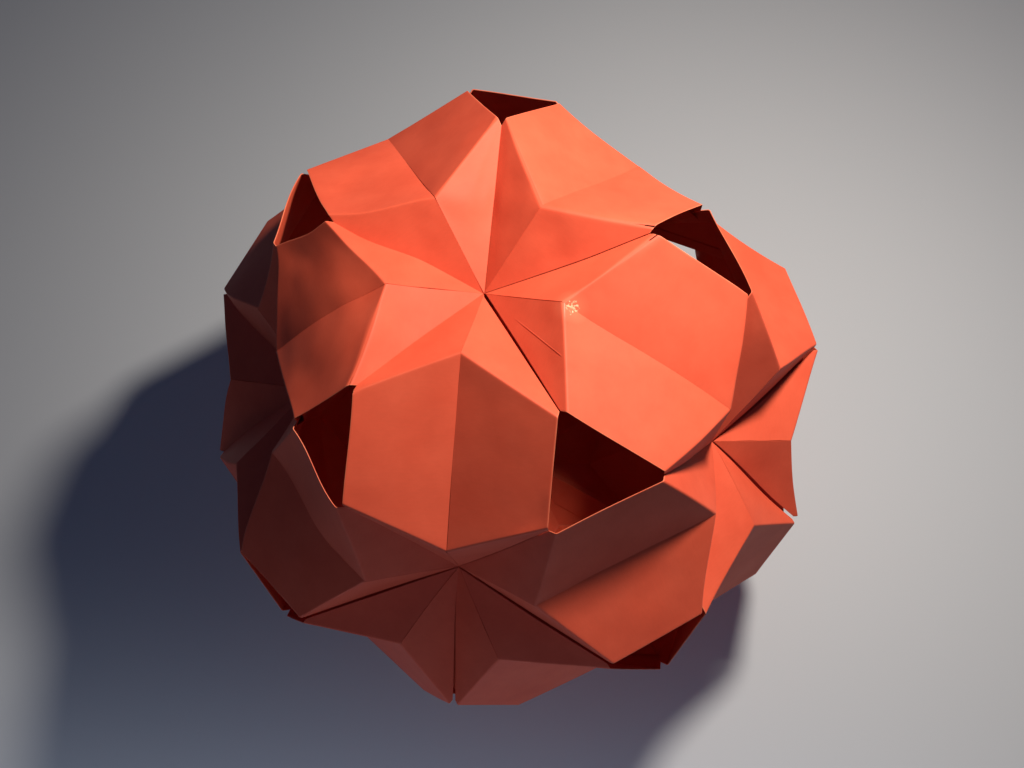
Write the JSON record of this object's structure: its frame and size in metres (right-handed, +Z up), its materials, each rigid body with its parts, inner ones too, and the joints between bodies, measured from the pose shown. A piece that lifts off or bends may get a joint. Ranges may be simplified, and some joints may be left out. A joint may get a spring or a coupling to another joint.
{
  "type": "modular origami ball",
  "caption": "Hollow ball of interlocked folded paper units, with five-pointed star pits where the unit ends meet and open triangular windows between them.",
  "frame": {"origin": "middle of the flat rim of the lowest pit, on the surface that the ball stands on", "axes": "+Z up through the middles of the lowest and highest pits, -Y towards a pit of the upper ring, which is the front"},
  "size_m": [0.1578, 0.1652, 0.1464],
  "materials": {
    "paper": "matt coral red paper, coloured through"
  },
  "bodies": {
    "root": {"folded_unit_01": "paper", "folded_unit_02": "paper", "folded_unit_03": "paper", "folded_unit_04": "paper", "folded_unit_05": "paper", "folded_unit_06": "paper", "folded_unit_07": "paper", "folded_unit_08": "paper", "folded_unit_09": "paper", "folded_unit_10": "paper", "folded_unit_11": "paper", "folded_unit_12": "paper", "folded_unit_13": "paper", "folded_unit_14": "paper", "folded_unit_15": "paper", "folded_unit_16": "paper", "folded_unit_17": "paper", "folded_unit_18": "paper", "folded_unit_19": "paper", "folded_unit_20": "paper", "folded_unit_21": "paper", "folded_unit_22": "paper", "folded_unit_23": "paper", "folded_unit_24": "paper", "folded_unit_25": "paper", "folded_unit_26": "paper", "folded_unit_27": "paper", "folded_unit_28": "paper", "folded_unit_29": "paper", "folded_unit_30": "paper"}
  },
  "joints": []
}
